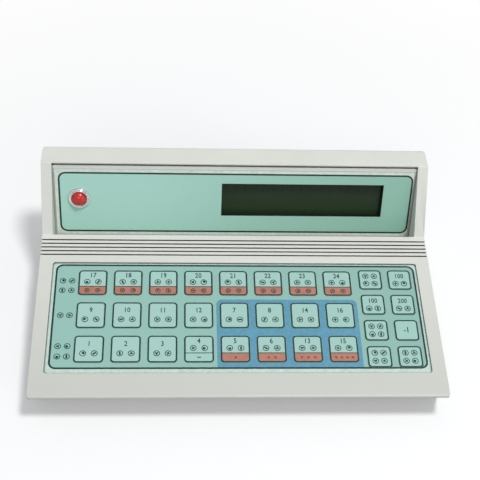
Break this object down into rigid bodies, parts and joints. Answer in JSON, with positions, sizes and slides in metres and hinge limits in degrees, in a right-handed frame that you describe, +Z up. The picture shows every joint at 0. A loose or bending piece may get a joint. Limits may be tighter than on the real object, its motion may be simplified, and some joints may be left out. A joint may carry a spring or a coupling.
{
  "type": "differential cell counter",
  "caption": "Desktop counting console: wedge-shaped plastic case with a sloping membrane keypad, a recessed character display and a red push button.",
  "frame": {"origin": "centre of the bounding box at the underside of the feet", "axes": "+X to the right seen from the operator's side, +Y to the rear, +Z up"},
  "size_m": [0.24, 0.1565, 0.076],
  "materials": {
    "case": "fine-textured off-white ABS",
    "base": "fine-textured light grey ABS",
    "overlay": "printed polyester film, satin, mint green",
    "key_film": "embossed printed polyester film, satin",
    "red_button": "polished red plastic",
    "bezel": "bright plated ring",
    "lcd": "unlit dark green display cell",
    "dark_plastic": "black moulded plastic",
    "board": "green solder-masked glass fibre",
    "circuit_film": "polyester circuit film",
    "ribbon": "grey ribbon insulation",
    "core_iron": "varnished iron plates",
    "copper": "taped enamelled winding",
    "steel": "plated steel",
    "rubber": "soft black rubber"
  },
  "bodies": {
    "console": {"bottom_shell": "base", "top_shell": "case", "rear_panel": "base", "display_panel": "case", "display_overlay": "overlay", "lcd_board": "board", "lcd_frame": "dark_plastic", "lcd_glass": "lcd", "reset_bezel": "bezel", "reset_switch": "dark_plastic", "keypad_overlay": "overlay", "keypad_circuit": "circuit_film", "key_domes": "steel", "keypad_tail": "circuit_film", "main_board": "board", "board_chips": "dark_plastic", "sounder": "dark_plastic", "transformer_core": "core_iron", "transformer_winding": "copper", "mains_inlet": "dark_plastic", "inlet_pins": "steel", "switch_frame": "dark_plastic", "fuse_holder": "dark_plastic", "display_ribbon": "ribbon", "rubber_feet": "rubber", "screws": "steel"},
    "reset_button": {"reset_button": "red_button"},
    "switch_rocker": {"switch_rocker": "dark_plastic"},
    "count_key_01": {"count_key_01": "key_film"},
    "count_key_02": {"count_key_02": "key_film"},
    "count_key_03": {"count_key_03": "key_film"},
    "count_key_04": {"count_key_04": "key_film"},
    "count_key_05": {"count_key_05": "key_film"},
    "count_key_06": {"count_key_06": "key_film"},
    "count_key_07": {"count_key_07": "key_film"},
    "count_key_08": {"count_key_08": "key_film"},
    "count_key_09": {"count_key_09": "key_film"},
    "count_key_10": {"count_key_10": "key_film"},
    "count_key_11": {"count_key_11": "key_film"},
    "count_key_12": {"count_key_12": "key_film"},
    "count_key_13": {"count_key_13": "key_film"},
    "count_key_14": {"count_key_14": "key_film"},
    "count_key_15": {"count_key_15": "key_film"},
    "count_key_16": {"count_key_16": "key_film"},
    "count_key_17": {"count_key_17": "key_film"},
    "count_key_18": {"count_key_18": "key_film"},
    "count_key_19": {"count_key_19": "key_film"},
    "count_key_20": {"count_key_20": "key_film"},
    "count_key_21": {"count_key_21": "key_film"},
    "count_key_22": {"count_key_22": "key_film"},
    "count_key_23": {"count_key_23": "key_film"},
    "count_key_24": {"count_key_24": "key_film"},
    "function_key_1": {"function_key_1": "key_film"},
    "function_key_2": {"function_key_2": "key_film"},
    "function_key_3": {"function_key_3": "key_film"},
    "function_key_4": {"function_key_4": "key_film"},
    "function_key_5": {"function_key_5": "key_film"},
    "function_key_6": {"function_key_6": "key_film"},
    "function_key_7": {"function_key_7": "key_film"},
    "function_key_8": {"function_key_8": "key_film"}
  },
  "joints": [
    {"name": "reset_button_press", "type": "slide", "parent": "console", "child": "reset_button", "axis": [0, -0.9542, 0.299], "range_m": [-0.002, 0], "stiffness_N_per_m": 300, "springref_m": 0.0015},
    {"name": "power_rocker", "type": "hinge", "parent": "console", "child": "switch_rocker", "pos_m": [-0.034, 0.07226, 0.038], "axis": [1, 0, 0], "range_deg": [0, 20]},
    {"name": "count_key_01_press", "type": "slide", "parent": "console", "child": "count_key_01", "axis": [0, -0.1392, 0.9903], "range_m": [-0.0004, 0], "stiffness_N_per_m": 500, "springref_m": 0.0004},
    {"name": "count_key_02_press", "type": "slide", "parent": "console", "child": "count_key_02", "axis": [0, -0.1392, 0.9903], "range_m": [-0.0004, 0], "stiffness_N_per_m": 500, "springref_m": 0.0004},
    {"name": "count_key_03_press", "type": "slide", "parent": "console", "child": "count_key_03", "axis": [0, -0.1392, 0.9903], "range_m": [-0.0004, 0], "stiffness_N_per_m": 500, "springref_m": 0.0004},
    {"name": "count_key_04_press", "type": "slide", "parent": "console", "child": "count_key_04", "axis": [0, -0.1392, 0.9903], "range_m": [-0.0004, 0], "stiffness_N_per_m": 500, "springref_m": 0.0004},
    {"name": "count_key_05_press", "type": "slide", "parent": "console", "child": "count_key_05", "axis": [0, -0.1392, 0.9903], "range_m": [-0.0004, 0], "stiffness_N_per_m": 500, "springref_m": 0.0004},
    {"name": "count_key_06_press", "type": "slide", "parent": "console", "child": "count_key_06", "axis": [0, -0.1392, 0.9903], "range_m": [-0.0004, 0], "stiffness_N_per_m": 500, "springref_m": 0.0004},
    {"name": "count_key_07_press", "type": "slide", "parent": "console", "child": "count_key_07", "axis": [0, -0.1392, 0.9903], "range_m": [-0.0004, 0], "stiffness_N_per_m": 500, "springref_m": 0.0004},
    {"name": "count_key_08_press", "type": "slide", "parent": "console", "child": "count_key_08", "axis": [0, -0.1392, 0.9903], "range_m": [-0.0004, 0], "stiffness_N_per_m": 500, "springref_m": 0.0004},
    {"name": "count_key_09_press", "type": "slide", "parent": "console", "child": "count_key_09", "axis": [0, -0.1392, 0.9903], "range_m": [-0.0004, 0], "stiffness_N_per_m": 500, "springref_m": 0.0004},
    {"name": "count_key_10_press", "type": "slide", "parent": "console", "child": "count_key_10", "axis": [0, -0.1392, 0.9903], "range_m": [-0.0004, 0], "stiffness_N_per_m": 500, "springref_m": 0.0004},
    {"name": "count_key_11_press", "type": "slide", "parent": "console", "child": "count_key_11", "axis": [0, -0.1392, 0.9903], "range_m": [-0.0004, 0], "stiffness_N_per_m": 500, "springref_m": 0.0004},
    {"name": "count_key_12_press", "type": "slide", "parent": "console", "child": "count_key_12", "axis": [0, -0.1392, 0.9903], "range_m": [-0.0004, 0], "stiffness_N_per_m": 500, "springref_m": 0.0004},
    {"name": "count_key_13_press", "type": "slide", "parent": "console", "child": "count_key_13", "axis": [0, -0.1392, 0.9903], "range_m": [-0.0004, 0], "stiffness_N_per_m": 500, "springref_m": 0.0004},
    {"name": "count_key_14_press", "type": "slide", "parent": "console", "child": "count_key_14", "axis": [0, -0.1392, 0.9903], "range_m": [-0.0004, 0], "stiffness_N_per_m": 500, "springref_m": 0.0004},
    {"name": "count_key_15_press", "type": "slide", "parent": "console", "child": "count_key_15", "axis": [0, -0.1392, 0.9903], "range_m": [-0.0004, 0], "stiffness_N_per_m": 500, "springref_m": 0.0004},
    {"name": "count_key_16_press", "type": "slide", "parent": "console", "child": "count_key_16", "axis": [0, -0.1392, 0.9903], "range_m": [-0.0004, 0], "stiffness_N_per_m": 500, "springref_m": 0.0004},
    {"name": "count_key_17_press", "type": "slide", "parent": "console", "child": "count_key_17", "axis": [0, -0.1392, 0.9903], "range_m": [-0.0004, 0], "stiffness_N_per_m": 500, "springref_m": 0.0004},
    {"name": "count_key_18_press", "type": "slide", "parent": "console", "child": "count_key_18", "axis": [0, -0.1392, 0.9903], "range_m": [-0.0004, 0], "stiffness_N_per_m": 500, "springref_m": 0.0004},
    {"name": "count_key_19_press", "type": "slide", "parent": "console", "child": "count_key_19", "axis": [0, -0.1392, 0.9903], "range_m": [-0.0004, 0], "stiffness_N_per_m": 500, "springref_m": 0.0004},
    {"name": "count_key_20_press", "type": "slide", "parent": "console", "child": "count_key_20", "axis": [0, -0.1392, 0.9903], "range_m": [-0.0004, 0], "stiffness_N_per_m": 500, "springref_m": 0.0004},
    {"name": "count_key_21_press", "type": "slide", "parent": "console", "child": "count_key_21", "axis": [0, -0.1392, 0.9903], "range_m": [-0.0004, 0], "stiffness_N_per_m": 500, "springref_m": 0.0004},
    {"name": "count_key_22_press", "type": "slide", "parent": "console", "child": "count_key_22", "axis": [0, -0.1392, 0.9903], "range_m": [-0.0004, 0], "stiffness_N_per_m": 500, "springref_m": 0.0004},
    {"name": "count_key_23_press", "type": "slide", "parent": "console", "child": "count_key_23", "axis": [0, -0.1392, 0.9903], "range_m": [-0.0004, 0], "stiffness_N_per_m": 500, "springref_m": 0.0004},
    {"name": "count_key_24_press", "type": "slide", "parent": "console", "child": "count_key_24", "axis": [0, -0.1392, 0.9903], "range_m": [-0.0004, 0], "stiffness_N_per_m": 500, "springref_m": 0.0004},
    {"name": "function_key_1_press", "type": "slide", "parent": "console", "child": "function_key_1", "axis": [0, -0.1392, 0.9903], "range_m": [-0.0004, 0], "stiffness_N_per_m": 500, "springref_m": 0.0004},
    {"name": "function_key_2_press", "type": "slide", "parent": "console", "child": "function_key_2", "axis": [0, -0.1392, 0.9903], "range_m": [-0.0004, 0], "stiffness_N_per_m": 500, "springref_m": 0.0004},
    {"name": "function_key_3_press", "type": "slide", "parent": "console", "child": "function_key_3", "axis": [0, -0.1392, 0.9903], "range_m": [-0.0004, 0], "stiffness_N_per_m": 500, "springref_m": 0.0004},
    {"name": "function_key_4_press", "type": "slide", "parent": "console", "child": "function_key_4", "axis": [0, -0.1392, 0.9903], "range_m": [-0.0004, 0], "stiffness_N_per_m": 500, "springref_m": 0.0004},
    {"name": "function_key_5_press", "type": "slide", "parent": "console", "child": "function_key_5", "axis": [0, -0.1392, 0.9903], "range_m": [-0.0004, 0], "stiffness_N_per_m": 500, "springref_m": 0.0004},
    {"name": "function_key_6_press", "type": "slide", "parent": "console", "child": "function_key_6", "axis": [0, -0.1392, 0.9903], "range_m": [-0.0004, 0], "stiffness_N_per_m": 500, "springref_m": 0.0004},
    {"name": "function_key_7_press", "type": "slide", "parent": "console", "child": "function_key_7", "axis": [0, -0.1392, 0.9903], "range_m": [-0.0004, 0], "stiffness_N_per_m": 500, "springref_m": 0.0004},
    {"name": "function_key_8_press", "type": "slide", "parent": "console", "child": "function_key_8", "axis": [0, -0.1392, 0.9903], "range_m": [-0.0004, 0], "stiffness_N_per_m": 500, "springref_m": 0.0004}
  ]
}
